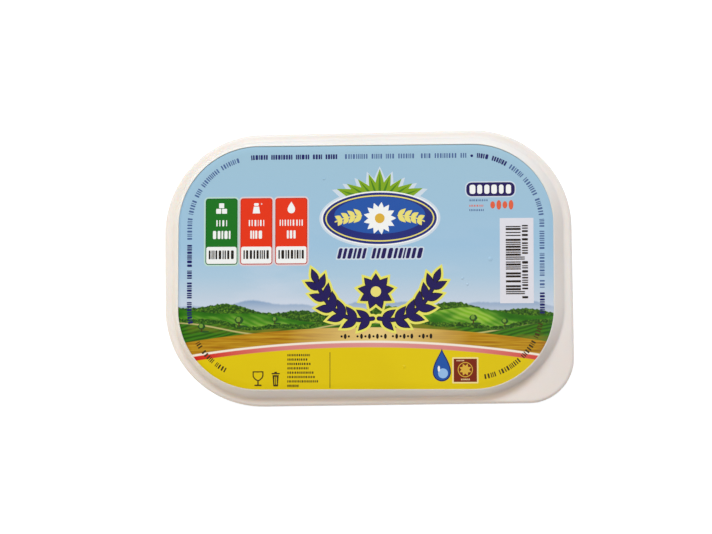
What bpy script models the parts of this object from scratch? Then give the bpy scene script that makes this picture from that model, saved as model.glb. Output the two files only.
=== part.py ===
"""A shut plastic tub of butter: the tapered tub, its press-on lid and the lid's printed label.

Metres, +Z up. The tub stands on its foot ring at z = 0, centred on the origin, with its long side
along X and the lid's pull tab at the +X, -Y corner. It is shut and opaque, so tub and butter are
one solid, which stops just under the lid.
"""

import math

import bmesh
import bpy
from mathutils import Matrix, Vector

# Driving sizes of the lid, seen from above
LID_LENGTH = 0.1250
LID_WIDTH = 0.0838
LID_CORNER = 0.0303
TAB_CORNER = 0.0138

# Heights above the floor
HEIGHT = 0.0360
PANEL_RISE = 0.0035
FLANGE_TOP = HEIGHT - PANEL_RISE
PLATE_THICKNESS = 0.0012
PLATE_UNDERSIDE = FLANGE_TOP - PLATE_THICKNESS
FIT_GAP = 0.0003

# The lid's flange, skirt and raised panel, as insets from the lid's outline
LIP_ROUNDING = 0.0009
LIP_UNDERSIDE_ROUNDING = 0.0002
SKIRT_DROP = 0.0055
SKIRT_INSET = 0.0006
SKIRT_THICKNESS = 0.0011
SKIRT_ROUNDING = 0.0003
PANEL_FOOT_INSET = (0.0025, 0.0024)
PANEL_FOOT_FILLET = 0.0005

# The label lies flush in a shallow pocket in the panel's crown, both a little off centre and turned
LABEL_INSET = (0.0055, 0.0049)
LABEL_CORNER = 0.0243
LABEL_THICKNESS = 0.0003
LABEL_SHIFT = (-0.0005, 0.00015)
LABEL_TURN = math.radians(-0.65)
CROWN_MARGIN = 0.0006
CROWN_ROUNDING = 0.00025
POCKET_DEPTH = LABEL_THICKNESS + FIT_GAP

# The tub's outer face, as insets from the lid's outline
BEAD_INSET = SKIRT_INSET + SKIRT_THICKNESS + FIT_GAP
BEAD_HEIGHT = 0.0020
BEAD_TOP = PLATE_UNDERSIDE - FIT_GAP
BEAD_BOTTOM = BEAD_TOP - BEAD_HEIGHT
BEAD_ROUNDING = 0.0006
NECK_INSET = 0.0034
SHOULDER_TOP_INSET = 0.0036
SHOULDER_FOOT_INSET = 0.0044
SHOULDER_TOP = 0.0255
SHOULDER_DROP = 0.0007
BASE_INSET = 0.0080
BASE_ROUNDING = 0.0025
FOOT_RING_WIDTH = 0.0045
RECESS_SLOPE = 0.0010
RECESS_DEPTH = 0.0012

CORNER_STEPS = 14
BEVEL_STEPS = 3
SMOOTH_ANGLE = math.radians(32)

# Colours are linear
TUB_WHITE = (0.69, 0.66, 0.60, 1.0)
LID_WHITE = (0.83, 0.80, 0.75, 1.0)
LABEL_BLUE = (0.40, 0.58, 0.70, 1.0)


def clear_scene():
    for old in list(bpy.data.objects):
        bpy.data.objects.remove(old)


def collection_named(name):
    collection = bpy.data.collections.new(name)
    bpy.context.scene.collection.children.link(collection)
    return collection


def material_named(name, colour, roughness):
    material = bpy.data.materials.new(name)
    material.use_nodes = True
    shader = material.node_tree.nodes["Principled BSDF"]
    shader.inputs["Base Color"].default_value = colour
    shader.inputs["Roughness"].default_value = roughness
    shader.inputs["Metallic"].default_value = 0.0
    return material


def rounded(half_x, half_y, radii):
    """A rounded rectangle, anticlockwise from the +X side, with a radius for each corner in turn."""
    points = []
    for corner, (side_x, side_y) in enumerate([(1, 1), (-1, 1), (-1, -1), (1, -1)]):
        radius = radii[corner]
        centre_x = side_x * (half_x - radius)
        centre_y = side_y * (half_y - radius)
        for step in range(CORNER_STEPS + 1):
            angle = math.radians(90 * (corner + step / CORNER_STEPS))
            points.append((centre_x + radius * math.cos(angle), centre_y + radius * math.sin(angle)))
    return points


def outline(inset, tab=False):
    """The lid's outline pulled in by inset, one number or one each for X and Y.

    With tab, the +X, -Y corner keeps its own small radius.
    """
    inset_x, inset_y = inset if isinstance(inset, tuple) else (inset, inset)
    usual = LID_CORNER - (inset_x + inset_y) / 2
    radii = [usual, usual, usual, TAB_CORNER - inset_x if tab else usual]
    return rounded(LID_LENGTH / 2 - inset_x, LID_WIDTH / 2 - inset_y, radii)


def label_outline(grow=0.0):
    """The label's outline moved out by grow, off centre and turned."""
    half_x = LID_LENGTH / 2 - LABEL_INSET[0] + grow
    half_y = LID_WIDTH / 2 - LABEL_INSET[1] + grow
    turn = Matrix.Rotation(LABEL_TURN, 2)
    spots = rounded(half_x, half_y, [LABEL_CORNER + grow] * 4)
    return [turn @ Vector(spot) + Vector(LABEL_SHIFT) for spot in spots]


def loft(name, sections, collection, material):
    """A closed solid through sections of (outline, height, rounding), from the inmost one below,
    round the outside, to the inmost one above. Its first and last sections are its flat ends."""
    widest = max(rounding for _, _, rounding in sections)
    mesh = bpy.data.meshes.new(name)
    bm = bmesh.new()
    weight = bm.edges.layers.float.new("bevel_weight_edge")
    rings = [[bm.verts.new((x, y, z)) for x, y in points] for points, z, _ in sections]
    count = len(rings[0])
    for lower, upper in zip(rings, rings[1:]):
        for i in range(count):
            j = (i + 1) % count
            bm.faces.new((lower[i], lower[j], upper[j], upper[i]))
    bm.faces.new(list(reversed(rings[0])))
    bm.faces.new(rings[-1])
    for ring, (_, _, rounding) in zip(rings, sections):
        for i in range(count):
            edge = bm.edges.get((ring[i], ring[(i + 1) % count]))
            edge[weight] = rounding / widest
    bm.to_mesh(mesh)
    bm.free()
    piece = bpy.data.objects.new(name, mesh)
    collection.objects.link(piece)
    bevel = piece.modifiers.new("rounded edges", "BEVEL")
    bevel.limit_method = "WEIGHT"
    bevel.width = widest
    bevel.segments = BEVEL_STEPS
    apply_modifiers(piece)
    piece.data.materials.append(material)
    shade(piece)
    return piece


def apply_modifiers(piece):
    evaluated = piece.evaluated_get(bpy.context.evaluated_depsgraph_get())
    mesh = bpy.data.meshes.new_from_object(evaluated)
    piece.modifiers.clear()
    piece.data = mesh


def shade(piece):
    piece.data.shade_smooth()
    piece.data.set_sharp_from_angle(angle=SMOOTH_ANGLE)


def make_tub(collection, material):
    """Recessed base, foot ring, tapered wall, stacking shoulder and the bead that the lid grips."""
    recess_inset = BASE_INSET + FOOT_RING_WIDTH
    wall_foot = outline(BASE_INSET)
    sections = [
        (outline(recess_inset + RECESS_SLOPE), RECESS_DEPTH, 0),
        (outline(recess_inset), 0, 0),
        (wall_foot, 0, BASE_ROUNDING),
        (outline(SHOULDER_FOOT_INSET), SHOULDER_TOP - SHOULDER_DROP, 0),
        (outline(SHOULDER_TOP_INSET), SHOULDER_TOP, 0),
        (outline(NECK_INSET), BEAD_BOTTOM, 0),
        (outline(BEAD_INSET), BEAD_BOTTOM, BEAD_ROUNDING),
        (outline(BEAD_INSET), BEAD_TOP, BEAD_ROUNDING),
        (outline(NECK_INSET), BEAD_TOP, 0),
    ]
    return loft("tub", sections, collection, material)


def make_lid(collection, material):
    """Skirt, flat flange with the corner tab, drafted wall and the raised panel with its pocket."""
    skirt_inner = SKIRT_INSET + SKIRT_THICKNESS
    skirt_bottom = PLATE_UNDERSIDE - SKIRT_DROP
    sections = [
        (outline(skirt_inner), PLATE_UNDERSIDE, 0),
        (outline(skirt_inner), skirt_bottom, SKIRT_ROUNDING),
        (outline(SKIRT_INSET), skirt_bottom, SKIRT_ROUNDING),
        (outline(SKIRT_INSET), PLATE_UNDERSIDE, 0),
        (outline(0, tab=True), PLATE_UNDERSIDE, LIP_UNDERSIDE_ROUNDING),
        (outline(0, tab=True), FLANGE_TOP, LIP_ROUNDING),
        (outline(PANEL_FOOT_INSET), FLANGE_TOP, PANEL_FOOT_FILLET),
        (label_outline(CROWN_MARGIN), HEIGHT, CROWN_ROUNDING),
        (label_outline(FIT_GAP), HEIGHT, 0),
        (label_outline(FIT_GAP), HEIGHT - POCKET_DEPTH, 0),
    ]
    return loft("lid", sections, collection, material)


def make_label(collection, material):
    """The printed film, a flat outline as thick as the label."""
    points = label_outline()
    curve = bpy.data.curves.new("label", "CURVE")
    curve.dimensions = "2D"
    curve.fill_mode = "BOTH"
    curve.extrude = LABEL_THICKNESS / 2
    spline = curve.splines.new("POLY")
    spline.points.add(len(points) - 1)
    for point, (x, y) in zip(spline.points, points):
        point.co = (x, y, 0, 1)
    spline.use_cyclic_u = True
    label = bpy.data.objects.new("label", curve)
    label.location.z = HEIGHT - LABEL_THICKNESS / 2
    label.data.materials.append(material)
    collection.objects.link(label)
    return label


def main():
    clear_scene()
    collection = collection_named("butter tub")
    make_tub(collection, material_named("tub plastic", TUB_WHITE, roughness=0.42))
    make_lid(collection, material_named("lid plastic", LID_WHITE, roughness=0.36))
    make_label(collection, material_named("label film", LABEL_BLUE, roughness=0.30))


main()
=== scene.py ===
"""Looks of a shut plastic butter tub: moulded white plastic, a printed lid film, soft light from above.

The lid film carries a plain country picture made of fields of colour, with small printed shapes on it.
Lengths are in metres, except in the print's layout, which is in millimetres from the label's centre.
"""

import math
import random

import bmesh
import bpy
from mathutils import Matrix, Vector, geometry, noise


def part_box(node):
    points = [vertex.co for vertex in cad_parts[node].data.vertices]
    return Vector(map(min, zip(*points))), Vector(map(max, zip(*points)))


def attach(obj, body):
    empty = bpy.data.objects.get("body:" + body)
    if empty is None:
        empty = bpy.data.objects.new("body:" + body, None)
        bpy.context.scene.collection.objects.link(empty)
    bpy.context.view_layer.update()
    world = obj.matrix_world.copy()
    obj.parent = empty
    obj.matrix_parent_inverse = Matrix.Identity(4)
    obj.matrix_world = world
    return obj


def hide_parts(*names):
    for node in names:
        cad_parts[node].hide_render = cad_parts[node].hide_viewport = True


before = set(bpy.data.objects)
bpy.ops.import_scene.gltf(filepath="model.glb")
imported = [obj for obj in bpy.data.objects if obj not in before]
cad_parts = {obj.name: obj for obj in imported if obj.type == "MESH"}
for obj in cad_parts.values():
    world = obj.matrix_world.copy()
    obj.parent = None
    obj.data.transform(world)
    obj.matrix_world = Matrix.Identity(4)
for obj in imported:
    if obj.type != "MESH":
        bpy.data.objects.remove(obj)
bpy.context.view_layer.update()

MM = 0.001
BODY = "root"

# Sizes that the frame gives
LID_LOW, LID_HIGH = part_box("lid")
LABEL_LOW, LABEL_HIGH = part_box("label")
LID_LENGTH = LID_HIGH.x - LID_LOW.x
LID_WIDTH = LID_HIGH.y - LID_LOW.y
HEIGHT = LID_HIGH.z
LABEL_MIDDLE = (LABEL_LOW + LABEL_HIGH).xy / 2

# Sizes that repeat the construction's
LID_CORNER = 30.3 * MM
TAB_CORNER = 13.8 * MM
FIT_GAP = 0.3 * MM
FLANGE_TOP = HEIGHT - 3.5 * MM
PLATE_UNDERSIDE = FLANGE_TOP - 1.2 * MM
LIP_ROUNDING = 0.9 * MM
LIP_UNDERSIDE_ROUNDING = 0.2 * MM
SKIRT_BOTTOM = LID_LOW.z
SKIRT_INSET = 0.6 * MM
SKIRT_THICKNESS = 1.1 * MM
SKIRT_ROUNDING = 0.3 * MM
PANEL_FOOT_INSET = (2.5 * MM, 2.4 * MM)
PANEL_FOOT_FILLET = 0.5 * MM
LABEL_HALF_X = LID_LENGTH / 2 - 5.5 * MM
LABEL_HALF_Y = LID_WIDTH / 2 - 4.9 * MM
LABEL_CORNER = 24.3 * MM
LABEL_TURN = math.radians(-0.65)
CROWN_MARGIN = 0.6 * MM
CROWN_ROUNDING = 0.25 * MM
POCKET_DEPTH = 0.6 * MM
BEAD_INSET = 2.0 * MM
BEAD_TOP = PLATE_UNDERSIDE - FIT_GAP
BEAD_BOTTOM = BEAD_TOP - 2.0 * MM
BEAD_ROUNDING = 0.6 * MM
NECK_INSET = 3.4 * MM
SHOULDER_TOP_INSET = 3.6 * MM
SHOULDER_FOOT_INSET = 4.4 * MM
SHOULDER_TOP = 25.5 * MM
SHOULDER_DROP = 0.7 * MM
BASE_INSET = 8.0 * MM
BASE_ROUNDING = 2.5 * MM
FOOT_RING_WIDTH = 4.5 * MM
RECESS_SLOPE = 1.0 * MM
RECESS_DEPTH = 1.2 * MM

# Moulding detail that only shows close by
BASE_RIB_INSET = 9.0 * MM
BASE_RIB_WIDTH = 0.9 * MM
BASE_RIB_HEIGHT = 0.4 * MM
BASE_RIB_ROUNDING = 0.2 * MM
RECESS_ROUNDING = 0.4 * MM
FOOT_RING_ROUNDING = 0.5 * MM
SHOULDER_ROUNDING = 0.3 * MM
POCKET_ROUNDING = 0.05 * MM
GATE_STEPS = 48
TAB_DROOP = 0.45 * MM
DROOP_START = 1.0 * MM
DROOP_LENGTH = 8.0 * MM
FLANGE_WAVE = 0.06 * MM
FLANGE_WAVE_LENGTH = 28 * MM
FLANGE_RINGS = 8
CORNER_STEPS = 36
SIDE_STEPS = 12
BEVEL_STEPS = 6
BEVEL_ROOM = 1.3
SMOOTH_ANGLE = math.radians(35)

# The gate mark's radii and heights, in millimetres
GATE_PROFILE = ((0.7, -0.45), (0.9, -0.1), (2.2, -0.1), (2.5, -0.3), (3.1, -0.3), (3.3, 0.2))

# The print: the film's top, and how far each layer of ink stands above it
FILM_TOP = HEIGHT - 0.09 * MM
FILM_CLEARANCE = 0.04 * MM
FILM_EDGE_WIDTH = 2.2 * MM
FILM_EDGE_DROP = 0.2 * MM
FILM_EDGE_RINGS = 6
INK_LAYER = 0.008 * MM
INK_SINK = 0.01 * MM
BOX_CORNER_STEPS = 6
CAP_STEPS = 8
INSIDE_TRIANGLES = 1
PRINT_TOLERANCE = 1e-5


def srgb(red, green, blue):
    """A colour as a screen shows it, 0 to 255, made linear."""
    linear = []
    for value in (red / 255, green / 255, blue / 255):
        linear.append(value / 12.92 if value <= 0.04045 else ((value + 0.055) / 1.055) ** 2.4)
    return (*linear, 1.0)


# Node trees

class Tree:
    """A material's node tree with short names for what is used here. Places are in millimetres,
    from the object's origin, or from the label's centre and along its sides."""

    def __init__(self, name, on_label=False):
        self.material = bpy.data.materials.new(name)
        self.material.use_nodes = True
        self.nodes = self.material.node_tree.nodes
        self.links = self.material.node_tree.links
        place = self.node("TexCoord").outputs["Object"]
        self.place = self.node("VectorMath", "SCALE", Vector=place, Scale=1 / MM).outputs["Vector"]
        if on_label:
            middle = (*(LABEL_MIDDLE / MM), 0)
            mapping = self.node("Mapping", Vector=self.place, Location=middle, Rotation=(0, 0, LABEL_TURN))
            mapping.vector_type = "TEXTURE"
            self.place = mapping.outputs["Vector"]
        self.x, self.y, _ = self.node("SeparateXYZ", Vector=self.place).outputs

    def feed(self, socket, value):
        if isinstance(value, bpy.types.NodeSocket):
            self.links.new(value, socket)
        else:
            socket.default_value = value

    def fill(self, node, values):
        """Feeds a node's sockets, by names with underscores for spaces."""
        for name, value in values.items():
            self.feed(node.inputs[name.replace("_", " ")], value)

    def node(self, kind, operation=None, **values):
        node = self.nodes.new("ShaderNode" + kind)
        if operation:
            node.operation = operation
        self.fill(node, values)
        return node

    def math(self, operation, *values, clamp=False):
        node = self.node("Math", operation)
        node.use_clamp = clamp
        for socket, value in zip(node.inputs, values):
            self.feed(socket, value)
        return node.outputs[0]

    def times(self, first, second):
        return self.math("MULTIPLY", first, second)

    def noise(self, size, detail=2.0, stretch=(1, 1, 1), roughness=0.5):
        """Noise from 0 to 1 whose blotches are about size millimetres wide."""
        stretched = self.node("VectorMath", "MULTIPLY", Vector=self.place)
        stretched.inputs[1].default_value = stretch
        place = stretched.outputs["Vector"]
        node = self.node("TexNoise", Vector=place, Scale=1 / size, Detail=detail, Roughness=roughness)
        return node.outputs["Fac"]

    def mix(self, factor, first, second):
        node = self.node("Mix")
        node.data_type = "RGBA"
        factor_in, _, _, _, _, _, first_in, second_in = node.inputs[:8]
        self.feed(factor_in, factor)
        self.feed(first_in, first)
        self.feed(second_in, second)
        return node.outputs[2]

    def ramp(self, value, *stops):
        """Colour by value, with stops of (position, colour as a screen shows it)."""
        node = self.node("ValToRGB", Fac=value)
        elements = node.color_ramp.elements
        while len(elements) < len(stops):
            elements.new(1.0)
        for element, (position, colour) in zip(elements, stops):
            element.position = position
            element.color = srgb(*colour)
        return node.outputs["Color"]

    def spread(self, value, low, high):
        """0 at low, 1 at high, and straight between them."""
        return self.node("MapRange", Value=value, From_Min=low, From_Max=high).outputs["Result"]

    def bump(self, height, depth, under=None):
        """The normal with a relief of depth millimetres, on top of the relief under it."""
        node = self.node("Bump", Height=height, Distance=depth * MM)
        if under:
            self.links.new(under, node.inputs["Normal"])
        return node.outputs["Normal"]

    def finish(self, **values):
        """Feeds the shader's own sockets."""
        self.fill(self.nodes["Principled BSDF"], values)
        return self.material


def plastic(name, colour, shade, roughness):
    """Warm white polypropylene: faint flow marks, a fine moulded skin, and light that soaks in a little."""
    tree = Tree(name)
    base = tree.mix(tree.spread(tree.noise(24.0), 0.35, 0.7), colour, shade)
    dulling = tree.noise(5.0, detail=4.0)
    return tree.finish(
        Base_Color=base,
        Normal=tree.bump(tree.noise(0.35), 0.006),
        Roughness=tree.math("MULTIPLY_ADD", dulling, 0.05, roughness),
        IOR=1.49,
        Subsurface_Weight=0.25,
        Subsurface_Radius=(1.0, 0.62, 0.38),
        Subsurface_Scale=1.6 * MM,
    )


def ink(name, colour, mottle=0.05):
    """Printed ink under the film's gloss, with a trace of unevenness."""
    tree = Tree(name)
    darker = tuple(channel * (1 - mottle) for channel in colour[:3]) + (1.0,)
    return film_gloss(tree, tree.mix(tree.noise(1.4, detail=3.0), colour, darker))


def film_gloss(tree, base, under=None):
    """The finish that film and inks share: a soft gloss with very slight orange peel."""
    rubbed = tree.noise(14.0, detail=4.0)
    return tree.finish(
        Base_Color=base,
        Normal=tree.bump(tree.noise(1.1, detail=1.0), 0.004, under),
        Roughness=tree.math("MULTIPLY_ADD", rubbed, 0.14, 0.33),
        IOR=1.46,
        Specular_IOR_Level=0.22,
    )


# The picture on the film, in millimetres

ARC_BEND = 0.00148
FIELD_EDGE = -18.45
STRIPE_WHITE = -22.5
STRIPE_RED = -23.15
STRIPE_END = -24.5
GLOW_MIDDLE = 4.3
GLOW_REACH = 28.0
STRIPE_REACH = 58.0
SKY_FOOT = -14.0
SKY_TOP = 37.0
CLOUD_TOP = 16.0
CLOUD_FOOT = -8.0
HAZE_FOOT = -15.0
HAZE_TOP = -10.5
TRACK_WIDTH = 0.35

# Each line of hills: its height, and its waves of (size, length, start)
FAR_RIDGE = (-11.6, ((0.9, 38.0, 0.6), (0.5, 17.0, 2.1)))
WOOD_RIDGE = (-13.6, ((1.3, 74.0, 5.9), (0.8, 23.0, 0.4)))
MEADOW_RIDGE = (-14.8, ((1.6, 84.0, 5.6), (0.6, 31.0, 1.5)))
HEDGE_RIDGE = (-17.0, ((1.5, 66.0, 1.2), (0.5, 19.0, 4.0)))
NEAR_RIDGE = (-17.8, ((1.5, 66.0, 1.2), (0.4, 19.0, 4.0)))
TRACK_RIDGE = (-18.6, ((1.9, 58.0, 1.6),))

# Each blister: its place and radius
BLISTERS = ((38.2, 2.1, 0.75), (29.8, -3.7, 0.45), (31.2, -5.6, 0.4), (-12.5, 27.0, 0.4), (12.0, -30.5, 0.5))
BLISTER_HEIGHT = 0.12


def arc_edge(tree, height, softness=0.12):
    """1 below a wide arc whose top is at that height, 0 above it."""
    drop = tree.times(tree.times(tree.x, tree.x), ARC_BEND)
    above = tree.math("ADD", tree.y, drop)
    return tree.spread(above, height + softness, height - softness)


def ridge_edge(tree, height, waves, trees=0.0, softness=0.12):
    """1 below a line of hills: waves of (size, length, start), with tree tops that big on it."""
    line = height
    for size, length, start in waves:
        turn = tree.math("MULTIPLY_ADD", tree.x, math.tau / length, start)
        line = tree.math("ADD", line, tree.times(tree.math("SINE", turn), size))
    if trees:
        tops = tree.noise(1.3, detail=1.0, stretch=(1, 0, 0))
        line = tree.math("ADD", line, tree.times(tops, trees))
    above = tree.math("SUBTRACT", tree.y, line)
    return tree.spread(above, softness, -softness)


def rows(tree, slant, spacing, bend):
    """Rows across a field, 0 to 1, that lean by slant and bend with the ground."""
    lean = tree.math("MULTIPLY_ADD", tree.x, slant, tree.y)
    bent = tree.math("MULTIPLY_ADD", tree.noise(12.0, stretch=(1, 2, 1)), bend, lean)
    wave = tree.math("SINE", tree.times(bent, math.tau / spacing))
    return tree.math("MULTIPLY_ADD", wave, 0.5, 0.5)


def picture_film():
    """The film's picture, from back to front: sky, far hills, wood, meadows, ploughed field, stripe."""
    tree = Tree("film_picture", on_label=True)
    sky = tree.ramp(
        tree.spread(tree.y, SKY_FOOT, SKY_TOP),
        (0.0, (208, 216, 230)),
        (0.10, (192, 208, 222)),
        (0.22, (172, 201, 220)),
        (0.40, (158, 194, 218)),
        (1.0, (157, 192, 209)),
    )
    cloud = tree.spread(tree.noise(20.0, detail=4.0, stretch=(0.5, 1.8, 1)), 0.52, 0.8)
    low = tree.spread(tree.y, CLOUD_TOP, CLOUD_FOOT)
    clouded = tree.times(tree.times(cloud, low), 0.5)
    sky = tree.mix(clouded, sky, srgb(226, 226, 236))

    far = ridge_edge(tree, *FAR_RIDGE, trees=0.5, softness=0.3)
    far_colour = tree.ramp(
        tree.spread(tree.y, HAZE_FOOT, HAZE_TOP), (0.0, (204, 212, 222)), (1.0, (140, 166, 196))
    )
    colour = tree.mix(far, sky, far_colour)

    leaves = tree.noise(0.7, detail=4.0, roughness=0.7)
    wood_colour = tree.ramp(leaves, (0.34, (8, 44, 14)), (0.5, (36, 88, 20)), (0.68, (104, 148, 34)))
    colour = tree.mix(ridge_edge(tree, *WOOD_RIDGE, trees=1.5), colour, wood_colour)

    lit = tree.noise(9.0, stretch=(0.6, 1.6, 1))
    meadow_colour = tree.ramp(lit, (0.34, (26, 98, 12)), (0.5, (62, 136, 18)), (0.66, (124, 180, 34)))
    furrow = tree.times(rows(tree, 0.45, 1.6, 3.0), tree.spread(lit, 0.4, 0.62))
    meadow_colour = tree.mix(tree.times(furrow, 0.55), meadow_colour, srgb(176, 206, 92))
    colour = tree.mix(ridge_edge(tree, *MEADOW_RIDGE, trees=0.2), colour, meadow_colour)

    colour = tree.mix(ridge_edge(tree, *HEDGE_RIDGE, trees=1.3), colour, wood_colour)
    near_colour = tree.mix(rows(tree, -0.25, 1.2, 2.2), srgb(58, 124, 18), srgb(30, 84, 12))
    worn = tree.spread(tree.noise(11.0, detail=3.0, stretch=(0.5, 2.0, 1)), 0.58, 0.70)
    near_colour = tree.mix(worn, near_colour, srgb(116, 120, 26))
    near = ridge_edge(tree, *NEAR_RIDGE, trees=0.3)
    colour = tree.mix(near, colour, near_colour)
    height, waves = TRACK_RIDGE
    track = ridge_edge(tree, height, waves, softness=0.2)
    track_end = ridge_edge(tree, height - TRACK_WIDTH, waves, softness=0.2)
    line = tree.times(track, tree.math("SUBTRACT", 1.0, track_end))
    colour = tree.mix(tree.times(line, near), colour, srgb(214, 196, 128))

    side = tree.math("ABSOLUTE", tree.math("SUBTRACT", tree.x, GLOW_MIDDLE))
    furrows = tree.noise(0.6, detail=3.0, stretch=(0.05, 1, 1))
    soil = tree.ramp(furrows, (0.3, (158, 102, 6)), (0.5, (184, 134, 18)), (0.72, (202, 158, 38)))
    soil = tree.mix(tree.spread(side, GLOW_REACH, 1.0), soil, srgb(232, 202, 128))
    colour = tree.mix(arc_edge(tree, FIELD_EDGE), colour, soil)

    colour = tree.mix(arc_edge(tree, STRIPE_WHITE), colour, srgb(246, 236, 218))
    stripe = tree.ramp(
        tree.spread(side, 0.0, STRIPE_REACH),
        (0.0, (222, 150, 146)),
        (0.5, (218, 128, 124)),
        (0.72, (216, 96, 84)),
        (0.9, (214, 44, 30)),
    )
    colour = tree.mix(arc_edge(tree, STRIPE_RED), colour, stripe)
    yellow = tree.mix(tree.noise(22.0), srgb(231, 204, 4), srgb(220, 191, 5))
    colour = tree.mix(arc_edge(tree, STRIPE_END), colour, yellow)
    return film_gloss(tree, colour, under=tree.bump(blisters(tree), BLISTER_HEIGHT))


def blisters(tree):
    """A few tiny blisters where the film doesn't quite hold to the lid."""
    height = 0.0
    for x, y, radius in BLISTERS:
        across = tree.math("SUBTRACT", tree.x, x)
        up = tree.math("SUBTRACT", tree.y, y)
        squares = tree.math("ADD", tree.times(across, across), tree.times(up, up))
        swell = tree.math("SUBTRACT", 1.0, tree.math("DIVIDE", squares, radius ** 2), clamp=True)
        height = tree.math("ADD", height, swell)
    return height


# Outlines and solids

def rounded(half_x, half_y, radii):
    """A rounded rectangle, anticlockwise from the +X side, with a radius for each corner in turn."""
    arcs = []
    for corner, (side_x, side_y) in enumerate([(1, 1), (-1, 1), (-1, -1), (1, -1)]):
        radius = radii[corner]
        centre = Vector((side_x * (half_x - radius), side_y * (half_y - radius)))
        arc = []
        for step in range(CORNER_STEPS + 1):
            angle = math.radians(90 * (corner + step / CORNER_STEPS))
            arc.append(centre + radius * Vector((math.cos(angle), math.sin(angle))))
        arcs.append(arc)
    points = []
    for arc, following in zip(arcs, arcs[1:] + arcs[:1]):
        points += arc
        points += [arc[-1].lerp(following[0], step / SIDE_STEPS) for step in range(1, SIDE_STEPS)]
    return points


def outline(inset, tab=False):
    """The lid's outline pulled in by inset, one number or one each for X and Y.

    With tab, the +X, -Y corner keeps its own small radius.
    """
    inset_x, inset_y = inset if isinstance(inset, tuple) else (inset, inset)
    usual = LID_CORNER - (inset_x + inset_y) / 2
    radii = [usual, usual, usual, TAB_CORNER - inset_x if tab else usual]
    return rounded(LID_LENGTH / 2 - inset_x, LID_WIDTH / 2 - inset_y, radii)


def on_label(spot):
    """A place on the label, which lies off centre and turned, seen from the lid."""
    return Matrix.Rotation(LABEL_TURN, 2) @ Vector(spot) + LABEL_MIDDLE


def label_outline(grow=0.0):
    """The label's outline moved out by grow."""
    spots = rounded(LABEL_HALF_X + grow, LABEL_HALF_Y + grow, [LABEL_CORNER + grow] * 4)
    return [on_label(spot) for spot in spots]


def settle(point):
    """How far a point of the flange lies below its nominal height: the tab droops, the rest waves."""
    corner = Vector((LID_LENGTH / 2 - LID_CORNER, LID_CORNER - LID_WIDTH / 2))
    reach = 0.0
    if point.x > corner.x and point.y < corner.y:
        beyond = (point - corner).length - (LID_CORNER - DROOP_START)
        reach = min(max(beyond / DROOP_LENGTH, 0.0), 1.0)
    wave = 0.5 + 0.5 * noise.noise(Vector((point.x, point.y, 0.0)) / FLANGE_WAVE_LENGTH)
    return TAB_DROOP * reach * reach + FLANGE_WAVE * wave


def new_object(name, data):
    made = bpy.data.objects.new(name, data)
    bpy.context.scene.collection.objects.link(made)
    return made


def object_from(bm, name):
    """An object with the faces of bm, which is freed."""
    mesh = bpy.data.meshes.new(name)
    bm.to_mesh(mesh)
    bm.free()
    return new_object(name, mesh)


def loft(name, sections, moving=()):
    """A closed solid through sections of (outline, height, rounding), from the inmost one below,
    round the outside, to the inmost one above. Sections whose numbers are in moving settle."""
    widest = max(rounding for _, _, rounding in sections) or LIP_ROUNDING
    bm = bmesh.new()
    weight = bm.edges.layers.float.new("bevel_weight_edge")
    rings = []
    for number, (points, z, _) in enumerate(sections):
        drops = [settle(point) if number in moving else 0.0 for point in points]
        rings.append([bm.verts.new((p.x, p.y, z - drop)) for p, drop in zip(points, drops)])
    count = len(rings[0])
    for lower, upper in zip(rings, rings[1:]):
        for i in range(count):
            j = (i + 1) % count
            bm.faces.new((lower[i], lower[j], upper[j], upper[i]))
    bm.faces.new(list(reversed(rings[0])))
    bm.faces.new(rings[-1])
    for ring, (_, _, rounding) in zip(rings, sections):
        for i in range(count):
            bm.edges.get((ring[i], ring[(i + 1) % count]))[weight] = rounding / widest
    piece = object_from(bm, name)
    bevel = piece.modifiers.new("rounded edges", "BEVEL")
    bevel.limit_method = "WEIGHT"
    bevel.width = widest
    bevel.segments = BEVEL_STEPS
    evaluated = piece.evaluated_get(bpy.context.evaluated_depsgraph_get())
    mesh = bpy.data.meshes.new_from_object(evaluated)
    piece.modifiers.clear()
    piece.data = mesh
    piece.data.shade_smooth()
    piece.data.set_sharp_from_angle(angle=SMOOTH_ANGLE)
    return piece


def place_piece(piece, material, slot, *nodes):
    """Gives a piece its material and body, and hides the construction's nodes that it stands for. The slot
    is not used.
    """
    piece.data.materials.append(material)
    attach(piece, BODY)
    if nodes:
        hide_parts(*nodes)


def make_tub(material):
    """The tapered tub: recessed base with a rib, foot ring, wall, stacking shoulder and bead."""
    recess_inset = BASE_INSET + FOOT_RING_WIDTH
    rib_outer = recess_inset + BASE_RIB_INSET
    rib_inner = rib_outer + BASE_RIB_WIDTH
    rib_bottom = RECESS_DEPTH - BASE_RIB_HEIGHT
    sections = [
        (outline(rib_inner + BASE_RIB_HEIGHT), RECESS_DEPTH, 0),
        (outline(rib_inner), rib_bottom, BASE_RIB_ROUNDING),
        (outline(rib_outer), rib_bottom, BASE_RIB_ROUNDING),
        (outline(rib_outer - BASE_RIB_HEIGHT), RECESS_DEPTH, 0),
        (outline(recess_inset + RECESS_SLOPE), RECESS_DEPTH, RECESS_ROUNDING),
        (outline(recess_inset), 0, FOOT_RING_ROUNDING),
        (outline(BASE_INSET), 0, BASE_ROUNDING),
        (outline(SHOULDER_FOOT_INSET), SHOULDER_TOP - SHOULDER_DROP, SHOULDER_ROUNDING),
        (outline(SHOULDER_TOP_INSET), SHOULDER_TOP, SHOULDER_ROUNDING),
        (outline(NECK_INSET), BEAD_BOTTOM, SHOULDER_ROUNDING),
        (outline(BEAD_INSET), BEAD_BOTTOM, BEAD_ROUNDING),
        (outline(BEAD_INSET), BEAD_TOP, BEAD_ROUNDING),
        (outline(NECK_INSET), BEAD_TOP, 0),
    ]
    place_piece(loft("tub_shell", sections), material, "tub_plastic", "tub")


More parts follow.
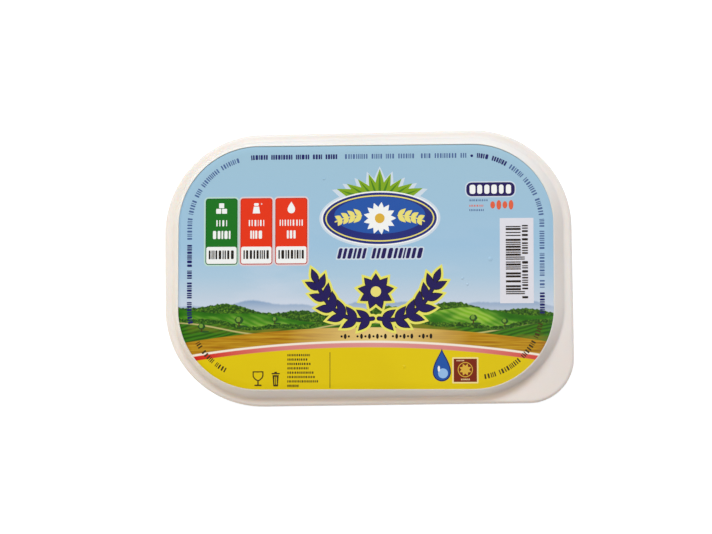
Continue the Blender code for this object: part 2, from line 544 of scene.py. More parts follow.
def make_lid(material):
    """Skirt, flange with the corner tab, drafted wall and the raised panel with its pocket."""
    skirt_inner = SKIRT_INSET + SKIRT_THICKNESS
    lip = outline(LIP_ROUNDING * BEVEL_ROOM, tab=True)
    foot = outline(tuple(inset - PANEL_FOOT_FILLET * BEVEL_ROOM for inset in PANEL_FOOT_INSET))
    shares = [step / FLANGE_RINGS for step in range(FLANGE_RINGS + 1)]
    flange = [[a.lerp(b, share) for a, b in zip(lip, foot)] for share in shares]
    sections = [
        (outline(skirt_inner), PLATE_UNDERSIDE, 0),
        (outline(skirt_inner), SKIRT_BOTTOM, SKIRT_ROUNDING),
        (outline(SKIRT_INSET), SKIRT_BOTTOM, SKIRT_ROUNDING),
        (outline(SKIRT_INSET), PLATE_UNDERSIDE, 0),
        (outline(0, tab=True), PLATE_UNDERSIDE, LIP_UNDERSIDE_ROUNDING),
        (outline(0, tab=True), FLANGE_TOP, LIP_ROUNDING),
    ]
    first_moving = len(sections) - 2
    sections += [(ring, FLANGE_TOP, 0) for ring in flange]
    moving = range(first_moving, len(sections) - 1)
    sections += [
        (outline(PANEL_FOOT_INSET), FLANGE_TOP, PANEL_FOOT_FILLET),
        (label_outline(CROWN_MARGIN), HEIGHT, CROWN_ROUNDING),
        (label_outline(FIT_GAP), HEIGHT, POCKET_ROUNDING),
        (label_outline(FIT_GAP), HEIGHT - POCKET_DEPTH, 0),
    ]
    place_piece(loft("lid_shell", sections, moving), material, "lid_plastic", "lid")


def make_film(material):
    """The printed film, which fills the lid's pocket and bends down a little towards its edge."""
    grow = FIT_GAP - FILM_CLEARANCE
    sections = [(label_outline(grow), HEIGHT - POCKET_DEPTH + FILM_CLEARANCE, 0)]
    for ring in range(FILM_EDGE_RINGS + 1):
        share = 1 - ring / FILM_EDGE_RINGS
        inset = FILM_EDGE_WIDTH * (1 - share)
        sections.append((label_outline(grow - inset), FILM_TOP - FILM_EDGE_DROP * share ** 2, 0))
    place_piece(loft("label_film", sections), material, "label_film", "label")


def make_gate_mark(material):
    """The round mark under the base where the plastic was let into the mould."""
    sections = []
    for radius, z in GATE_PROFILE:
        ring = oval(0, 0, radius * MM, radius * MM, GATE_STEPS)
        sections.append(([Vector(spot) for spot in ring], RECESS_DEPTH + z * MM, 0))
    place_piece(loft("gate_mark", sections), material, "tub_plastic")


# Printed shapes, as outlines in millimetres

def box(x, y, width, height, radius=0.0, slant=0.0):
    """A box round its centre, with rounded corners, leaning by slant."""
    if radius <= 0:
        corners = [(0.5, 0.5), (-0.5, 0.5), (-0.5, -0.5), (0.5, -0.5)]
        return [(x + u * width + v * height * slant, y + v * height) for u, v in corners]
    points = []
    for corner, (u, v) in enumerate([(1, 1), (-1, 1), (-1, -1), (1, -1)]):
        for step in range(BOX_CORNER_STEPS + 1):
            angle = math.radians(90 * (corner + step / BOX_CORNER_STEPS))
            across = u * (width / 2 - radius) + radius * math.cos(angle)
            up = v * (height / 2 - radius) + radius * math.sin(angle)
            points.append((x + across + up * slant, y + up))
    return points


def oval(x, y, radius_x, radius_y, steps=28):
    points = []
    for step in range(steps):
        angle = math.tau * step / steps
        points.append((x + radius_x * math.cos(angle), y + radius_y * math.sin(angle)))
    return points


def leaf(x, y, length, width, angle, steps=10):
    """A pointed leaf or petal that starts at x, y and grows along angle, in degrees."""
    along = Vector((math.cos(math.radians(angle)), math.sin(math.radians(angle))))
    across = Vector((-along.y, along.x))
    sides = []
    for sign in (1, -1):
        side = []
        for step in range(steps + 1):
            share = step / steps
            bulge = math.sin(math.pi * share ** 0.8) * width / 2
            side.append(Vector((x, y)) + along * length * share + across * sign * bulge)
        sides.append(side)
    return sides[1] + list(reversed(sides[0]))[1:-1]


def stroke(points, width):
    """The outline of a pen stroke along points, with round ends."""
    left, right = [], []
    for i, point in enumerate(points):
        before = points[max(i - 1, 0)]
        after = points[min(i + 1, len(points) - 1)]
        along = (after - before).normalized()
        across = Vector((-along.y, along.x)) * width / 2
        left.append(point + across)
        right.append(point - across)
    return right + half_circle(right[-1], left[-1]) + left[::-1] + half_circle(left[0], right[0])


def half_circle(start, end):
    """The points between start and end on the half circle that bulges to the right of that way."""
    middle = (start + end) / 2
    arm = start - middle
    turns = [math.pi * step / CAP_STEPS for step in range(1, CAP_STEPS)]
    return [middle + Matrix.Rotation(turn, 2) @ arm for turn in turns]


def smooth(points, steps=8):
    """A smooth line through points."""
    ends = [points[0] * 2 - points[1]] + list(points) + [points[-1] * 2 - points[-2]]
    line = []
    for a, b, c, d in zip(ends, ends[1:], ends[2:], ends[3:]):
        for step in range(steps):
            t = step / steps
            line.append(0.5 * (
                2 * b + (c - a) * t + (2 * a - 5 * b + 4 * c - d) * t ** 2
                + (3 * b - a - 3 * c + d) * t ** 3
            ))
    return line + [points[-1]]


class Ink:
    """One printed colour: flat shapes that become one very thin plate on the film."""

    def __init__(self, name, colour, layer):
        self.name = "ink_" + name
        self.material = ink(self.name, srgb(*colour))
        self.top = FILM_TOP + layer * INK_LAYER
        self.outlines = []
        self.owners = []

    def add(self, *outlines):
        """One shape. An outline inside another is a hole in it."""
        owner = len(self.outlines)
        for points in outlines:
            self.outlines.append([Vector(point) for point in points])
            self.owners.append(owner)

    def inside(self, hits):
        """Whether a spot that lies in these outlines is printed: an odd number of one shape's."""
        owners = [self.owners[hit] for hit in hits]
        return any(owners.count(owner) % 2 for owner in set(owners))

    def build(self):
        """Joins the shapes where they overlap and gives the whole its thickness."""
        corners, faces = [], []
        for points in self.outlines:
            faces.append(list(range(len(corners), len(corners) + len(points))))
            corners += points
        spots, _, triangles, _, _, hits = geometry.delaunay_2d_cdt(
            corners, [], faces, INSIDE_TRIANGLES, PRINT_TOLERANCE
        )
        kept = [triangle for triangle, hit in zip(triangles, hits) if self.inside(hit)]
        bm = bmesh.new()
        upper, lower = {}, {}
        for index in sorted({index for triangle in kept for index in triangle}):
            x, y = on_label(spots[index] * MM)
            upper[index] = bm.verts.new((x, y, self.top))
            lower[index] = bm.verts.new((x, y, FILM_TOP - INK_SINK))
        sides = {(a, b) for t in kept for a, b in zip(t, t[1:] + t[:1])}
        for triangle in kept:
            bm.faces.new([upper[index] for index in triangle])
            bm.faces.new([lower[index] for index in reversed(triangle)])
        for a, b in sides:
            if (b, a) not in sides:
                bm.faces.new((upper[b], upper[a], lower[a], lower[b]))
        place_piece(object_from(bm, self.name), self.material, "label_film")


# The print's layout, in millimetres from the label's centre

VALUE_BOXES = (
    (-44.0, "green", "mint", (3.8, 5.8)),
    (-33.25, "red", "rose", (5.2, 4.0)),
    (-22.5, "red", "rose", (7.6, 3.0)),
)
BOX_SIGN_BASE = 16.6
BOX_ROWS = ((12.7, 1.9, 0.42), (8.8, 2.5, 0.66))
BOX_ROW_PITCH = 0.45
BOX_WIDTH = 9.9
BOX_HEIGHT = 20.4
BOX_MIDDLE = 11.1
BOX_ROUNDING = 0.9
BOX_HALO = 0.45
BOX_LINE = 0.28
BOX_FOOT = 5.2
BOX_FOOT_BASE = 2.6
BOX_FOOT_HEIGHT = 2.7
BOX_FOOT_LENGTH = 8.2
LUMP = (1.55, 1.5, 0.2)
LUMP_PLACES = ((-0.9, 0.75), (0.9, 0.75), (0, 2.45))
SHAKER = ((1.15, 0), (0.8, 2.1), (-0.8, 2.1), (-1.15, 0))
SHAKER_CAP = (2.75, 1.5, 0.85, 0.4)
GRAIN = (1.6, 2.9, 0.2)
FAT_DROP = (1.1, 1.15, 2.5)

BADGE_MIDDLE = Vector((4.6, 14.8))
BADGE_HALF = Vector((17.4, 7.9))
BADGE_RIMS = (("haze", 1.1), ("white", 0.45), ("royal", 0.0))
BADGE_LINE = (0.75, 1.15)
BADGE_STEPS = 72
PETALS = 13
DAISY_HEART = 1.5
DAISY_PETAL = 4.1
TWIG_START = (5.6, 0.8)
TWIG_PITCH = 2.0
TWIG_KNOTS = 5
TWIG_BEND = 0.028
TWIG_STROKE = 0.4
TWIG_LEAF = (3.2, 1.45)
TWIG_TAPER = 0.28
TWIG_LEANS = (42, -42)

# The leaves over the badge: the angle and length of each, on both sides and in the middle
BADGE_LEAVES = ((160, 14.0), (20, 14.0), (148, 11.9), (32, 11.9), (131, 10.2), (49, 10.2))
BADGE_LEAVES += ((110, 9.9), (70, 9.9), (90, 10.8))
BADGE_LEAF_ROOT = 0.55
BADGE_LEAF_WIDTH = 0.28
BADGE_LEAF_RIB = (0.9, 0.07)

SLOGAN_WORDS = ((-8.8, 9.0), (1.7, 15.8))
SLOGAN_BASE = 2.5
SLOGAN_HEIGHT = 3.2
SLANT = 0.24

GARLAND_MIDDLE = Vector((3.4, -8.9))
GARLAND_TWIG = ((0.9, -6.9), (5.4, -7.3), (10.2, -5.8), (14.2, -2.6), (16.8, 1.4), (17.9, 4.0))
GARLAND_LEAVES = 6
GARLAND_LEAF = Vector((5.4, 2.25))
GARLAND_STROKE = 0.95
GARLAND_LEANS = (44, -38)
GARLAND_FIRST = 0.06
GARLAND_FULLEST = 0.45
GARLAND_TAPER = 0.3
BLOOM_MIDDLE = Vector((0.0, 1.3))
BLOOM_DISC = 2.6
BLOOM_PETALS = 9
BLOOM_PETAL = Vector((5.3, 2.8))
BLOOM_HEART = 1.6

BEAD_WORDS = ((-7.6, 3.3), (-2.8, 9.7), (8.0, 6.9), (16.1, 4.6))
BEAD_LINE = -21.2
BEAD_PITCH = 1.15
BEAD_SIZES = ((0.34, 0.34), (0.42, 0.78))

PILL_MIDDLE = Vector((38.35, 23.4))
PILL_SIZE = Vector((14.7, 4.2))
PILL_HALO = 0.7
PILL_MARGIN = 1.6
PILL_BLOCKS = 6
PILL_BLOCK_SHARES = (0.62, 0.84)
PILL_ROWS_LEFT = 31.8
PILL_ROWS = ((19.75, 5.8, "slate"), (18.1, 4.4, "orange"), (16.75, 4.6, "slate"))
OVALS = 4
OVALS_START = (39.0, 18.6)
OVALS_PITCH = 1.85
OVAL_HALF_WIDTH = 0.72
OVAL_HALF_HEIGHTS = (1.1, 1.45, 1.45)

BAR_PLATE = (46.2, 1.6, 10.2, 25.9)
BARS_LEFT = 42.9
BARS_RIGHT = 47.4
BARS_LOW = -8.6
BARS_HIGH = 13.2
BAR_MODULE = 0.30
BAR_WIDTHS = (1, 1, 1, 2, 2, 3)
BAR_GAPS = (1, 1, 2, 3)
GUARD_EXTRA = 1.2
BAR_MARKS = ((-10.2, 1.3), (-7.4, 9.2), (3.4, 9.2))
BAR_MARKS_BASE = 49.6

NOTE_LEFT = -23.7
NOTE_TOP = -27.2
NOTE_PITCH = 1.33
NOTE_LINES = (7.0, 6.3, 7.3, 6.6, 8.2, 8.6, 9.6, 3.6)
NOTE_RULE = (-10.6, -31.4, 0.22, 10.8)
GOBLET = (-32.6, -34.0)
GOBLET_BOWL = ((-1.5, 2.1), (-1.35, 0.5), (0, -0.55), (1.35, 0.5), (1.5, 2.1))
GOBLET_STROKE = 0.36
GOBLET_PARTS = ((0, 2.1, 3.3, 0.36, 0.15), (0, -1.2, 0.4, 1.5), (0, -2.0, 2.2, 0.4, 0.18))
BIN = (-27.2, -34.2)
BIN_BODY = ((0.95, 1.3), (-0.95, 1.3), (-0.7, -2.1), (0.7, -2.1))
BIN_SLOTS = ((-0.25, -0.4, 0.26, 2.4), (0.25, -0.4, 0.26, 2.4))
BIN_PARTS = ((0, 1.75, 2.5, 0.4, 0.15), (0, 2.1, 0.8, 0.4, 0.1))
DROP = (23.4, -32.2)
DROP_LAYERS = (("deep_blue", 2.75, 7.2), ("azure", 2.4, 6.57))
DROP_LIGHTS = (("sky_light", 0.35, -0.3, 1.5, 1.5), ("snow", -0.9, 1.1, 0.35, 0.9))
SEAL = (30.5, -31.6)
SEAL_SIZE = 7.0
SEAL_EDGE = 0.9
SEAL_RISE = 0.2
SEAL_PETALS = 8
SEAL_PETAL = (1.9, 0.95)
SEAL_RING = (2.3, 2.05)
SEAL_ROWS = ((-1.4, -3.0, 2.8, 0.5), (-2.7, 2.75, 2.4, 0.4))

# Each tree's foot and size
TREES = ((-38.5, -18.0, 1.3), (-27.5, -17.2, 0.9), (33.0, -17.4, 1.15), (42.5, -18.2, 1.0))
TREES += ((-50.0, -19.6, 1.1),)
CROWN_BLOBS = 6

RING_INSET = 3.15
RING_HEIGHT = 1.5
RING_GAP = 0.9
RING_SHORTEST = 1.2
RING_LENGTHS = (2.6, 7.5)
RING_WORDS = (
    ((-43.0, -32.7), (-52.4, -23.4), "umber", 0.5),
    ((-54.4, -17.5), (-54.4, 7.2), "deep_blue", 0.68),
    ((-54.4, 8.4), (-36.4, 33.2), "slate", 0.52),
    ((-35.0, 33.6), (-8.0, 33.6), "deep_blue", 0.7),
    ((-6.3, 33.6), (15.4, 33.6), "slate", 0.52),
    ((17.0, 33.6), (31.2, 33.6), "slate", 0.52),
    ((34.2, 33.8), (43.0, 30.6), "deep_blue", 0.68),
    ((43.8, 30.0), (54.9, -6.8), "slate", 0.52),
    ((54.9, -8.0), (54.2, -16.5), "deep_blue", 0.68),
    ((54.0, -17.5), (35.8, -34.2), "umber", 0.5),
)
RING_DOT = (32.7, 33.7, 0.42, 0.42)

# Every ink's colour as a screen shows it, layer by layer from the film up
INK_LAYERS = (
    {"haze": (208, 220, 230), "mint": (188, 220, 206), "rose": (222, 206, 208), "lemon": (234, 228, 102),
     "plate": (226, 224, 230), "cream": (244, 222, 150), "tree_dark": (34, 82, 34)},
    {"leaf_green": (128, 168, 28), "tree_light": (112, 156, 52), "edge_green": (4, 92, 34),
     "edge_red": (196, 44, 26), "dark_red": (122, 32, 10), "shade": (18, 8, 30)},
    {"leaf_dark": (72, 130, 24), "field_green": (0, 113, 26), "field_red": (232, 48, 14),
     "orange": (226, 96, 66), "olive": (128, 112, 24), "umber": (66, 52, 18), "black": (16, 12, 14),
     "slate": (72, 100, 148), "deep_blue": (14, 26, 98), "buff": (240, 214, 160)},
    {"white": (246, 246, 242), "navy": (16, 10, 88)},
    {"royal": (14, 36, 118)},
    {"azure": (18, 82, 166)},
    {"sky_light": (150, 190, 232), "straw": (238, 224, 120)},
    {"snow": (246, 246, 242)},
    {"gold": (222, 176, 60), "jet": (16, 14, 18)},
)

# The blocks that stand for words: how uneven their widths, and how round their corners
BLOCK_SHARES = (0.5, 1.5)
BLOCK_ROUNDING = 0.35


def make_inks():
    numbered = enumerate(INK_LAYERS, start=1)
    return {name: Ink(name, colour, number) for number, layer in numbered for name, colour in layer.items()}


def print_word(colour, draw, place, length, height, weight=0.56, pitch=0.4, edges=()):
    """Plain upright blocks of uneven width that stand where a pack has a word.

    They run from 0 to length on a base line at 0. place turns a point along that row and above it into
    one on the label. edges are inks, and how far each shows round a block.
    """
    count = max(round(length / (height * pitch)), 1)
    shares = [draw.uniform(*BLOCK_SHARES) for _ in range(count)]
    at = 0.0
    for share in shares:
        step = length * share / sum(shares)
        for layer, grow in ((colour, 0.0), *edges):
            width = step * weight + 2 * grow
            block = box(at + step / 2, height / 2, width, height + 2 * grow, width * BLOCK_ROUNDING)
            layer.add([place(*point) for point in block])
        at += step


def straight(x, base, slant=0.0):
    """Places a row of marks that starts at x, on a level base line."""
    return lambda along, above: (x + along + above * slant, base + above)


def upward(x, base):
    """Places a row of marks that runs up the label, with its base line on the right."""
    return lambda along, above: (x - above, base + along)


def moved(points, x, y):
    return [(x + across, y + up) for across, up in points]


def boxes_at(parts, x, y):
    """Boxes of (place, size and any rounding), from x, y."""
    return [box(x + across, y + up, *size) for across, up, *size in parts]


def sugar_sign(x, base):
    """Three lumps in a pile."""
    return [box(*spot, *LUMP) for spot in moved(LUMP_PLACES, x, base)]


def salt_sign(x, base):
    """A shaker with a round cap and a grain."""
    cap, *size = SHAKER_CAP
    across, up, radius = GRAIN
    grain = oval(x + across, base + up, radius, radius, 10)
    return [moved(SHAKER, x, base), box(x, base + cap, *size), grain]


def fat_sign(x, base):
    """A drop."""
    up, radius, height = FAT_DROP
    return [teardrop(x, base + up, radius, height)]


def print_boxes(inks, draw):
    """Three food value boxes: a coloured field with a sign and light marks, over a white foot."""
    low = BOX_MIDDLE - BOX_HEIGHT / 2
    inner_width = BOX_WIDTH - 2 * BOX_LINE
    inner_height = BOX_HEIGHT - 2 * BOX_LINE
    signs = (sugar_sign, salt_sign, fat_sign)
    for (x, tint, halo, lengths), sign in zip(VALUE_BOXES, signs):
        outer = (BOX_WIDTH + 2 * BOX_HALO, BOX_HEIGHT + 2 * BOX_HALO, BOX_ROUNDING + BOX_HALO)
        inks[halo].add(box(x, BOX_MIDDLE, *outer))
        inks["edge_" + tint].add(box(x, BOX_MIDDLE, BOX_WIDTH, BOX_HEIGHT, BOX_ROUNDING))
        inner = BOX_ROUNDING - BOX_LINE
        inks["field_" + tint].add(box(x, BOX_MIDDLE, inner_width, inner_height, inner))
        inks["snow"].add(box(x, low + BOX_LINE + BOX_FOOT / 2, inner_width, BOX_FOOT, inner))
        for shape in sign(x, BOX_SIGN_BASE):
            inks["snow"].add(shape)
        for (base, height, weight), length in zip(BOX_ROWS, lengths):
            place = straight(x - length / 2, base)
            print_word(inks["snow"], draw, place, length, height, weight, BOX_ROW_PITCH)
        start = straight(x - BOX_FOOT_LENGTH / 2, BOX_FOOT_BASE)
        print_word(inks["jet"], draw, start, BOX_FOOT_LENGTH, BOX_FOOT_HEIGHT, 0.6, 0.34)


def print_badge(inks):
    """An oval badge with a daisy between two twigs, under a spray of green leaves."""
    x, y = BADGE_MIDDLE
    wide, high = BADGE_HALF
    for name, grow in BADGE_RIMS:
        inks[name].add(oval(x, y, wide + grow, high + grow, BADGE_STEPS))
    inks["azure"].add(oval(x, y + high * 0.12, wide * 0.8, high * 0.72, 60))
    inks["straw"].add(*[oval(x, y, wide - inset, high - inset, BADGE_STEPS) for inset in BADGE_LINE])
    for petal in range(PETALS):
        angle = 360 * petal / PETALS
        start = Vector((x, y)) + Matrix.Rotation(math.radians(angle), 2) @ Vector((DAISY_HEART * 0.6, 0))
        inks["snow"].add(leaf(*start, DAISY_PETAL, DAISY_PETAL * 0.46, angle))
    inks["gold"].add(oval(x, y, DAISY_HEART, DAISY_HEART))
    for side in (1, -1):
        twig = []
        for run in [TWIG_PITCH * knot for knot in range(TWIG_KNOTS)]:
            twig.append(Vector((x + side * (TWIG_START[0] + run), y + TWIG_START[1] - TWIG_BEND * run ** 2)))
        inks["straw"].add(stroke(smooth(twig, 4), TWIG_STROKE))
        length, width = TWIG_LEAF
        for knot, spot in enumerate(twig[:-1]):
            facing = (0 if side == 1 else 180) - side * 6 * knot
            for lean in TWIG_LEANS:
                size = (length - TWIG_TAPER * knot, width)
                inks["straw"].add(leaf(*spot, *size, facing + side * lean))
    root = Vector((x, y + high * BADGE_LEAF_ROOT))
    for angle, length in BADGE_LEAVES:
        for name, grow in (("haze", 0.8), ("leaf_green", 0.0)):
            width = length * BADGE_LEAF_WIDTH + 2 * grow
            inks[name].add(leaf(*(root - Vector((0, grow))), length + 2 * grow, width, angle))
        inks["leaf_dark"].add(leaf(*root, *(length * share for share in BADGE_LEAF_RIB), angle))


def print_slogan(inks, draw):
    """A row of slanted dark blocks with a light edge."""
    for x, length in SLOGAN_WORDS:
        place = straight(x, SLOGAN_BASE, SLANT)
        print_word(inks["navy"], draw, place, length, SLOGAN_HEIGHT, 0.64, 0.5, edges=[(inks["haze"], 0.4)])


def grown_leaf(spot, length, width, angle, grow):
    """A leaf with its edge moved out by grow all round."""
    back = Matrix.Rotation(math.radians(angle), 2) @ Vector((grow * 1.2, 0))
    return leaf(*(Vector(spot) - back), length + 2.8 * grow, width + 2 * grow, angle)


def print_garland(colour, grow):
    """Two leafy twigs that rise to both sides of a bloom, every edge moved out by grow."""
    shapes = [oval(*BLOOM_MIDDLE, BLOOM_DISC + grow, BLOOM_DISC + grow)]
    for petal in range(BLOOM_PETALS):
        angle = 90 + 360 * petal / BLOOM_PETALS
        shapes.append(grown_leaf(BLOOM_MIDDLE, *BLOOM_PETAL, angle, grow))
    for side in (1, -1):
        line = smooth([Vector((side * x, y)) for x, y in GARLAND_TWIG])
        shapes.append(stroke(line, GARLAND_STROKE + 2 * grow))
        for number in range(GARLAND_LEAVES + 1):
            share = GARLAND_FIRST + (1 - GARLAND_FIRST) * number / GARLAND_LEAVES
            at = round(share * (len(line) - 1))
            ahead = line[at] - line[at - 1]
            facing = math.degrees(math.atan2(ahead.y, ahead.x))
            size = GARLAND_LEAF * (1.0 - GARLAND_TAPER * abs(number / GARLAND_LEAVES - GARLAND_FULLEST))
            for lean in (0,) if number == GARLAND_LEAVES else GARLAND_LEANS:
                shapes.append(grown_leaf(line[at], *size, facing + side * lean, grow))
    for shape in shapes:
        colour.add([Vector(point) + GARLAND_MIDDLE for point in shape])


def print_beads(inks):
    """A row of small dark beads in four groups, under the garland."""
    for x, length in BEAD_WORDS:
        count = round(length / BEAD_PITCH)
        for number in range(count):
            size = BEAD_SIZES[number % len(BEAD_SIZES)]
            inks["black"].add(oval(x + (number + 0.5) * length / count, BEAD_LINE, *size, 16))


def print_pill(inks, draw):
    """A dark pill with light blocks in it, and orange and grey marks below."""
    x, y = PILL_MIDDLE
    width, height = PILL_SIZE
    inks["haze"].add(box(x, y, width + PILL_HALO, height + PILL_HALO, height / 2 - 0.2))
    inks["navy"].add(box(x, y, width, height, height / 2 - 0.5))
    step = (width - PILL_MARGIN) / PILL_BLOCKS
    for number in range(PILL_BLOCKS):
        middle = x + (number - (PILL_BLOCKS - 1) / 2) * step
        wide = step * draw.uniform(*PILL_BLOCK_SHARES)
        inks["snow"].add(box(middle, y, wide, height * 0.66, step * 0.28))
    x, y = OVALS_START
    for number in range(OVALS):
        spot = (x + number * OVALS_PITCH, y)
        inks["orange"].add(oval(*spot, OVAL_HALF_WIDTH, draw.choice(OVAL_HALF_HEIGHTS)))
    for base, length, name in PILL_ROWS:
        print_word(inks[name], draw, straight(PILL_ROWS_LEFT, base), length, 0.6, 0.5, 0.8)


def print_bars(inks, draw):
    """The plate of bars, lying on its side, with a column of marks along it."""
    inks["plate"].add(box(*BAR_PLATE))
    modules = int((BARS_HIGH - BARS_LOW) / BAR_MODULE)
    guards = {0, 2, modules // 2 - 1, modules // 2 + 1, modules - 3, modules - 1}
    module = 0
    while module < modules:
        wide = 1 if module in guards else draw.choice(BAR_WIDTHS)
        right = BARS_RIGHT + (GUARD_EXTRA if module in guards else 0.0)
        low = BARS_LOW + module * BAR_MODULE
        middle = ((BARS_LEFT + right) / 2, low + wide * BAR_MODULE / 2)
        inks["jet"].add(box(*middle, right - BARS_LEFT, wide * BAR_MODULE))
        module += wide + (1 if module in guards else draw.choice(BAR_GAPS))
    for low, length in BAR_MARKS:
        print_word(inks["jet"], draw, upward(BAR_MARKS_BASE, low), length, 1.8, 0.5, 0.5)


def print_notes(inks, draw):
    """The yellow ground's small print: a block of fine lines, a rule, a goblet and a bin."""
    umber = inks["umber"]
    for number, length in enumerate(NOTE_LINES):
        base = NOTE_TOP - number * NOTE_PITCH
        print_word(umber, draw, straight(NOTE_LEFT, base), length, 0.7, 0.6, 0.75)
    inks["olive"].add(box(*NOTE_RULE))
    bowl = smooth([Vector(spot) for spot in moved(GOBLET_BOWL, *GOBLET)])
    umber.add(stroke(bowl, GOBLET_STROKE))
    for part in boxes_at(GOBLET_PARTS, *GOBLET):
        umber.add(part)
    umber.add(moved(BIN_BODY, *BIN), *boxes_at(BIN_SLOTS, *BIN))
    for part in boxes_at(BIN_PARTS, *BIN):
        umber.add(part)


def teardrop(x, y, radius, height, steps=16):
    """A drop whose round foot has that radius, with its tip height above the foot's middle."""
    points = [
        (x + radius * math.cos(angle), y + radius * math.sin(angle))
        for angle in (math.pi * (1 + step / steps) for step in range(steps + 1))
    ]
    for step in range(1, 2 * steps):
        share = 1 - abs(step / steps - 1)
        side = 1 if step < steps else -1
        reach = radius * math.cos(math.pi / 2 * share) ** 1.25
        points.append((x + side * reach, y + height * share))
    return points


def print_seals(inks, draw):
    """A blue drop and a dark square with a golden flower, low on the right."""
    for name, radius, height in DROP_LAYERS:
        inks[name].add(teardrop(*DROP, radius, height))
    for name, across, up, *size in DROP_LIGHTS:
        inks[name].add(oval(DROP[0] + across, DROP[1] + up, *size))
    x, y = SEAL
    inks["cream"].add(box(x, y, SEAL_SIZE + SEAL_EDGE, SEAL_SIZE + SEAL_EDGE, 0.3))
    inks["dark_red"].add(box(x, y, SEAL_SIZE, SEAL_SIZE))
    for petal in range(SEAL_PETALS):
        angle = 360 / SEAL_PETALS * (petal + 0.5)
        inks["gold"].add(leaf(x, y + SEAL_RISE, *SEAL_PETAL, angle))
    inks["gold"].add(*[oval(x, y + SEAL_RISE, radius, radius) for radius in SEAL_RING])
    for across, up, length, height in SEAL_ROWS:
        print_word(inks["buff"], draw, straight(x + across, y + up), length, height, 0.6, 0.8)


def print_trees(inks):
    """Small round trees on the meadows, each with its shadow to the right."""
    for x, y, size in TREES:
        inks["tree_dark"].add(oval(x + size * 0.8, y, size * 1.3, size * 0.25))
        inks["umber"].add(box(x, y + size * 0.45, size * 0.3, size))
        for blob in range(CROWN_BLOBS):
            angle = math.tau * blob / CROWN_BLOBS
            across = x + 0.45 * size * math.cos(angle)
            up = y + size * (1.45 + 0.36 * math.sin(angle))
            inks["tree_dark"].add(oval(across, up, size * 0.62, size * 0.54, 16))
            light = (x - 0.16 * size + (across - x) * 0.6, up + 0.16 * size)
            inks["tree_light"].add(oval(*light, size * 0.3, size * 0.26, 14))


class RingPath:
    """The closed line that the fine words follow, clockwise along the label's edge."""

    def __init__(self):
        half_x = LABEL_HALF_X / MM - RING_INSET
        half_y = LABEL_HALF_Y / MM - RING_INSET
        corners = rounded(half_x, half_y, [LABEL_CORNER / MM - RING_INSET] * 4)[::-1]
        self.sides = list(zip(corners, corners[1:] + corners[:1]))
        self.length = sum((b - a).length for a, b in self.sides)

    def distance(self, spot):
        """How far along the line its point nearest to spot lies."""
        nearest, best, run = None, 0.0, 0.0
        for a, b in self.sides:
            side = b - a
            share = min(max((Vector(spot) - a).dot(side) / side.length_squared, 0), 1)
            gap = (a + side * share - Vector(spot)).length
            if nearest is None or gap < nearest:
                nearest, best = gap, run + side.length * share
            run += side.length
        return best

    def place(self, start, base):
        """Places marks from there on, tops outward, with their base line that far off the line."""
        def placed(along, above):
            left = (start + along) % self.length
            for a, b in self.sides:
                side = b - a
                if left <= side.length:
                    break
                left -= side.length
            ahead = side.normalized()
            return a + ahead * left + Vector((-ahead.y, ahead.x)) * (base + above)
        return placed


def print_ring(inks, draw):
    """Fine words all round the label's edge, but for the middle of its near side."""
    path = RingPath()
    for start, end, name, weight in RING_WORDS:
        at = path.distance(start)
        stop = path.distance(end)
        stop += path.length if stop < at else 0
        while at < stop - RING_SHORTEST:
            length = min(draw.uniform(*RING_LENGTHS), stop - at)
            print_word(inks[name], draw, path.place(at, -RING_HEIGHT / 2), length, RING_HEIGHT, weight, 0.5)
            at += length + RING_GAP
    inks["deep_blue"].add(oval(*RING_DOT))


def main():
    draw = random.Random(7)
    tub_plastic = plastic("plastic_tub", srgb(217, 212, 204), srgb(214, 209, 200), 0.42)
    lid_plastic = plastic("plastic_lid", srgb(235, 227, 219), srgb(232, 224, 215), 0.44)
    make_tub(tub_plastic)
    make_gate_mark(tub_plastic)
    make_lid(lid_plastic)
    make_film(picture_film())
    inks = make_inks()
    print_boxes(inks, draw)
    print_badge(inks)
    print_slogan(inks, draw)
    for name, grow in (("lemon", 0.95), ("shade", 0.22), ("navy", 0.0)):
        print_garland(inks[name], grow)
    inks["straw"].add(oval(*(GARLAND_MIDDLE + BLOOM_MIDDLE), BLOOM_HEART, BLOOM_HEART))
    print_beads(inks)
    print_pill(inks, draw)
    print_bars(inks, draw)
    print_notes(inks, draw)
    print_seals(inks, draw)
    print_trees(inks)
    print_ring(inks, draw)
    for colour in inks.values():
        colour.build()


# Floor, light and camera

PHOTO_WIDTH = 712
PHOTO_HEIGHT = 534
OBJECT_WIDTH_IN_PHOTO = 408.5
OBJECT_MIDDLE_IN_PHOTO = (367.2, 268.1)
ROLL = math.radians(0.65)
TILT_RIGHT = math.radians(4.6)
TILT_NEAR = math.radians(4.6)
CAMERA_DISTANCE = 0.69
SENSOR = 36.0

FLOOR_RADIUS = 4.0
FLOOR_GLOW = 0.88
WORLD_COLOUR = (0.97, 0.83, 0.72, 1.0)
WORLD_STRENGTH = 0.18
LIGHT_DISTANCE = 1.0

# Each light's name, direction, size, power and colour
LIGHTS = (
    ("key", (-0.08, 0.70, 0.71), (0.7, 0.25), 8.6, (0.70, 0.85, 1.0)),
    ("fill_left", (-0.95, -0.2, 0.26), (0.5, 0.2), 3.1, (0.98, 0.92, 0.78)),
    ("fill_right", (0.42, -0.25, 0.87), (0.45, 0.45), 2.3, (0.64, 0.77, 1.0)),
    ("top", (0.05, 0.2, 0.98), (0.45, 0.45), 2.0, (1.0, 0.63, 0.20)),
)


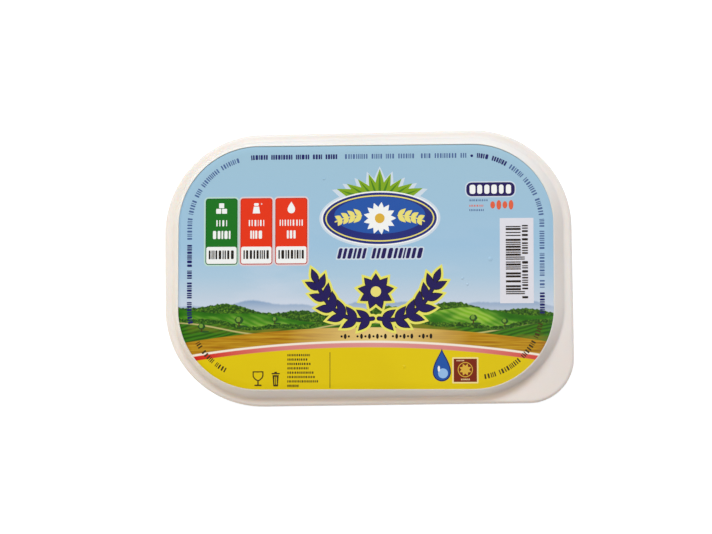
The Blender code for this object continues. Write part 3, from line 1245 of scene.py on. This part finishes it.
def make_camera():
    """Looks down on the lid, a little from its right and near sides, with the photo's roll."""
    camera = new_object("camera", bpy.data.cameras.new("camera"))
    scale = LID_LENGTH / OBJECT_WIDTH_IN_PHOTO
    frame_width = PHOTO_WIDTH * scale
    camera.data.sensor_width = SENSOR
    camera.data.lens = SENSOR * CAMERA_DISTANCE / frame_width
    away = Vector((math.tan(TILT_RIGHT), -math.tan(TILT_NEAR), 1.0)).normalized()
    up = Vector((math.sin(ROLL), math.cos(ROLL), 0.0))
    right = up.cross(away).normalized()
    up = away.cross(right)
    offset_x = (OBJECT_MIDDLE_IN_PHOTO[0] - PHOTO_WIDTH / 2) * scale
    offset_y = (PHOTO_HEIGHT / 2 - OBJECT_MIDDLE_IN_PHOTO[1]) * scale
    aim = Vector((0, 0, FLANGE_TOP)) - right * offset_x - up * offset_y
    turn = Matrix((right, up, away)).transposed().to_4x4()
    camera.matrix_world = Matrix.Translation(aim + away * CAMERA_DISTANCE) @ turn
    bpy.context.scene.camera = camera


def make_floor():
    """A pale table top, lit from inside so that shadows on it stay faint."""
    bm = bmesh.new()
    bmesh.ops.create_circle(bm, cap_ends=True, segments=96, radius=FLOOR_RADIUS)
    floor = object_from(bm, "floor")
    tree = Tree("floor_pale")
    base = tree.mix(tree.noise(60.0, detail=3.0), srgb(152, 151, 148), srgb(148, 147, 144))
    floor.data.materials.append(tree.finish(
        Base_Color=base,
        Roughness=0.8,
        Emission_Color=(0.96, 0.98, 1.0, 1.0),
        Emission_Strength=FLOOR_GLOW,
    ))


def make_light(name, direction, size, power, colour):
    """A soft box of that size, which faces the lid."""
    light = bpy.data.lights.new(name, "AREA")
    light.shape = "RECTANGLE"
    light.size, light.size_y = size
    light.energy = power
    light.color = colour
    lamp = new_object(name, light)
    away = Vector(direction).normalized()
    lamp.location = Vector((0, 0, FLANGE_TOP)) + away * LIGHT_DISTANCE
    lamp.rotation_euler = away.to_track_quat("Z", "Y").to_euler()


def make_world():
    world = bpy.data.worlds.new("studio")
    bpy.context.scene.world = world
    world.use_nodes = True
    background = world.node_tree.nodes["Background"]
    background.inputs["Color"].default_value = WORLD_COLOUR
    background.inputs["Strength"].default_value = WORLD_STRENGTH


main()
make_floor()
make_world()
for settings in LIGHTS:
    make_light(*settings)
make_camera()
bpy.context.scene.view_settings.view_transform = "Standard"
